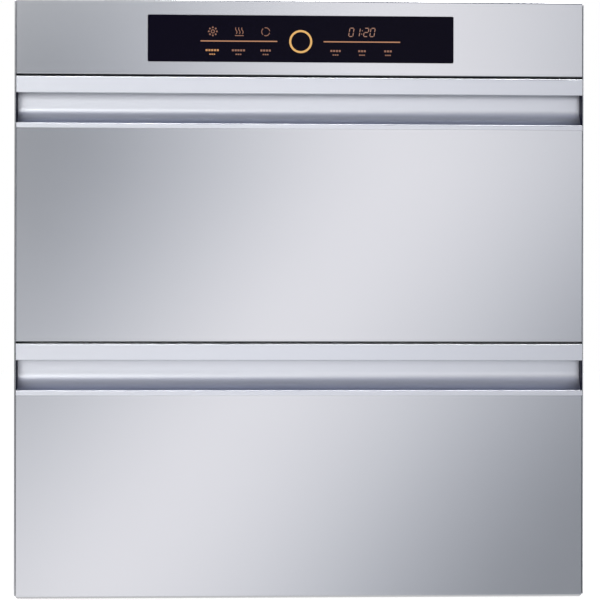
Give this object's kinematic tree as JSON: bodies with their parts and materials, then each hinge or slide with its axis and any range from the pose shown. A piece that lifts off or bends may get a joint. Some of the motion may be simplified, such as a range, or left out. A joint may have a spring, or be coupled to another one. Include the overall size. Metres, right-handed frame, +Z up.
{
  "type": "disinfection cabinet",
  "caption": "Built-in kitchen disinfection cabinet with stacked drawers, full-width recessed handles, a black touch display and heated, lamp-lit steel chambers.",
  "frame": {"origin": "on the shelf under the feet, at the middle of the width and of the depth", "axes": "+Z up; +X to the right as seen from the front; +Y to the back, so the drawers open along -Y"},
  "size_m": [0.597, 0.45, 0.629],
  "materials": {
    "satin_steel": "satin, very fine horizontal grain",
    "anodised_aluminium": "bead-blasted and anodised, satin",
    "black_plastic": "moulded, matt",
    "black_glass": "back-printed black, polished",
    "inner_steel": "stainless, smooth mill finish",
    "grey_silicone": "matt silicone",
    "zinc_steel": "zinc plated",
    "bright_wire": "electropolished wire",
    "galvanised_sheet": "galvanised, light spangle",
    "black_rubber": "matt",
    "mineral_wool": "fibrous",
    "white_plastic": "moulded, fine texture",
    "green_board": "solder mask",
    "dark_iron": "varnished",
    "lamp_glass": "clear tube, frosted by its coating",
    "quartz_glass": "milky quartz",
    "white_ceramic": "unglazed",
    "fin_aluminium": "plain"
  },
  "bodies": {
    "cabinet": {"control_fascia": "satin_steel", "display_glass": "black_glass", "upper_liner": "inner_steel", "upper_liner_back": "inner_steel", "lower_liner": "inner_steel", "lower_liner_back": "inner_steel", "body_screws": "zinc_steel", "reed_switches": "black_plastic", "upper_outer_rails": "zinc_steel", "lower_outer_rails": "zinc_steel", "uv_lamp_guard": "bright_wire", "heater_guard": "bright_wire", "base_plate": "galvanised_sheet", "right_side_panel": "galvanised_sheet", "left_side_panel": "galvanised_sheet", "top_cover": "galvanised_sheet", "back_panel": "galvanised_sheet", "middle_rail": "galvanised_sheet", "electronics_tray": "galvanised_sheet", "fan_housing": "galvanised_sheet", "feet": "black_rubber", "cord_gland": "black_plastic", "insulation_slab": "mineral_wool", "board_housing": "white_plastic", "control_board": "green_board", "power_board": "green_board", "transformer": "dark_iron", "ozone_generator": "white_plastic", "uv_lamp": "lamp_glass", "uv_lamp_holders": "white_plastic", "fan_motor": "dark_iron", "ptc_heater": "fin_aluminium", "infrared_tubes": "quartz_glass", "infrared_sockets": "white_ceramic", "thermal_cutout": "fin_aluminium"},
    "fan_rotor": {"fan_shaft": "zinc_steel", "fan_impeller": "black_plastic"},
    "upper_drawer": {"upper_front_skin": "satin_steel", "upper_handle": "anodised_aluminium", "upper_handle_caps": "black_plastic", "upper_front_backing": "inner_steel", "upper_gasket": "grey_silicone", "upper_front_screws": "zinc_steel", "upper_magnet": "black_plastic", "upper_inner_rails": "zinc_steel", "upper_brackets": "inner_steel", "upper_basket": "bright_wire"},
    "upper_slides": {"upper_middle_rails": "zinc_steel"},
    "lower_drawer": {"lower_front_skin": "satin_steel", "lower_handle": "anodised_aluminium", "lower_handle_caps": "black_plastic", "lower_front_backing": "inner_steel", "lower_gasket": "grey_silicone", "lower_front_screws": "zinc_steel", "lower_magnet": "black_plastic", "lower_inner_rails": "zinc_steel", "lower_brackets": "inner_steel", "lower_basket": "bright_wire", "lower_plate_rack": "bright_wire"},
    "lower_slides": {"lower_middle_rails": "zinc_steel"}
  },
  "joints": [
    {"name": "upper_drawer_slide", "type": "slide", "parent": "cabinet", "child": "upper_drawer", "axis": [0, -1, 0], "range_m": [0, 0.34]},
    {"name": "upper_middle_slide", "type": "slide", "parent": "cabinet", "child": "upper_slides", "axis": [0, -1, 0], "range_m": [0, 0.17]},
    {"name": "lower_drawer_slide", "type": "slide", "parent": "cabinet", "child": "lower_drawer", "axis": [0, -1, 0], "range_m": [0, 0.34]},
    {"name": "lower_middle_slide", "type": "slide", "parent": "cabinet", "child": "lower_slides", "axis": [0, -1, 0], "range_m": [0, 0.17]},
    {"name": "fan_spin", "type": "hinge", "parent": "cabinet", "child": "fan_rotor", "pos_m": [-0.046, 0.18, 0.4095], "axis": [0, 1, 0], "continuous": true}
  ],
  "couplings": [
    {"joint": "upper_middle_slide", "follows": "upper_drawer_slide", "ratio": 0.5},
    {"joint": "lower_middle_slide", "follows": "lower_drawer_slide", "ratio": 0.5}
  ]
}
